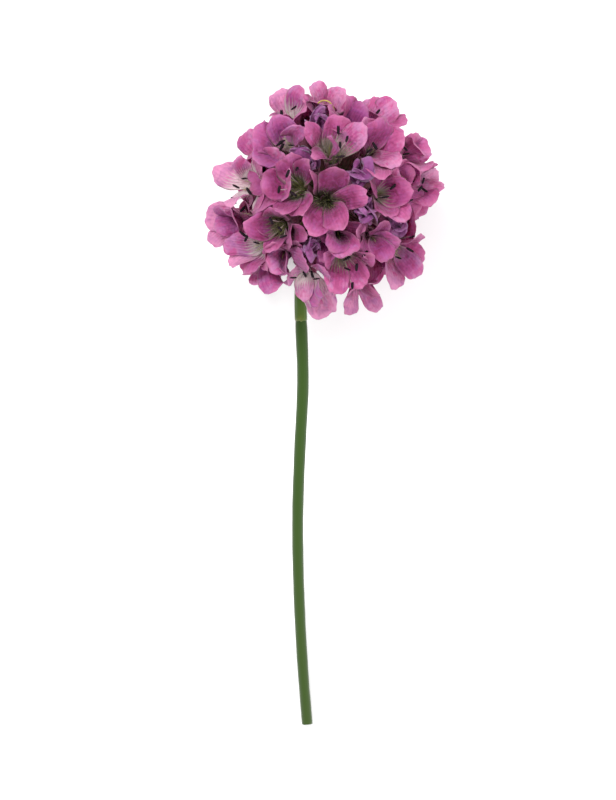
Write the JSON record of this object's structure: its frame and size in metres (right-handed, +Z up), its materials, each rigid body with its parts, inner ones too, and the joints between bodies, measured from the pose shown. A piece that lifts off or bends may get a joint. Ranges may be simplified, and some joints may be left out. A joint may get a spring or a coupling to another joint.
{
  "type": "thrift flower head",
  "caption": "Cut flower lying on its side: a round head of open pink five-petalled florets and closed buds on a bare green scape.",
  "frame": {"origin": "bottom centre of the part's box, on the surface that it lies on", "axes": "+Z up; the head lies towards +Y and the cut end of the scape towards -Y, so the long axis is Y"},
  "size_m": [0.0396, 0.1066, 0.0369],
  "materials": {
    "petal": "thin and translucent, satin, with fine veins along it",
    "calyx": "papery, ribbed and finely hairy",
    "bud": "satin, folded",
    "anther": "matt, dark purple",
    "filament": "translucent, satin",
    "bract": "papery, matt",
    "receptacle": "matt",
    "scape": "green stem, satin, finely ribbed",
    "scape_sheath": "papery, matt"
  },
  "bodies": {
    "root": {"scape": "scape", "scape_sheath": "scape_sheath", "receptacle": "receptacle", "involucral_bract_1": "bract", "involucral_bract_2": "bract", "involucral_bract_3": "bract", "involucral_bract_4": "bract", "involucral_bract_5": "bract", "floret_01": "petal", "floret_02": "petal", "floret_03": "petal", "floret_04": "petal", "floret_05": "petal", "floret_06": "petal", "floret_07": "petal", "floret_08": "petal", "floret_09": "petal", "floret_10": "petal", "floret_11": "petal", "floret_12": "petal", "floret_13": "petal", "floret_14": "petal", "floret_15": "petal", "floret_16": "petal", "floret_17": "petal", "floret_18": "petal", "floret_19": "petal", "floret_20": "petal", "floret_21": "petal", "floret_22": "petal", "floret_23": "petal", "floret_24": "petal", "floret_25": "petal", "floret_26": "petal", "floret_27": "petal", "floret_28": "petal", "floret_29": "petal", "floret_30": "petal", "floret_31": "petal", "floret_32": "petal", "floret_33": "petal", "floret_34": "petal", "floret_35": "petal", "floret_36": "petal", "floret_37": "petal", "floret_38": "petal", "floret_39": "petal", "floret_40": "petal", "floret_41": "petal", "floret_42": "petal", "floret_43": "petal", "floret_44": "petal", "floret_45": "petal", "bud_01": "bud", "bud_02": "bud", "bud_03": "bud", "bud_04": "bud", "bud_05": "bud", "bud_06": "bud", "bud_07": "bud"}
  },
  "joints": []
}
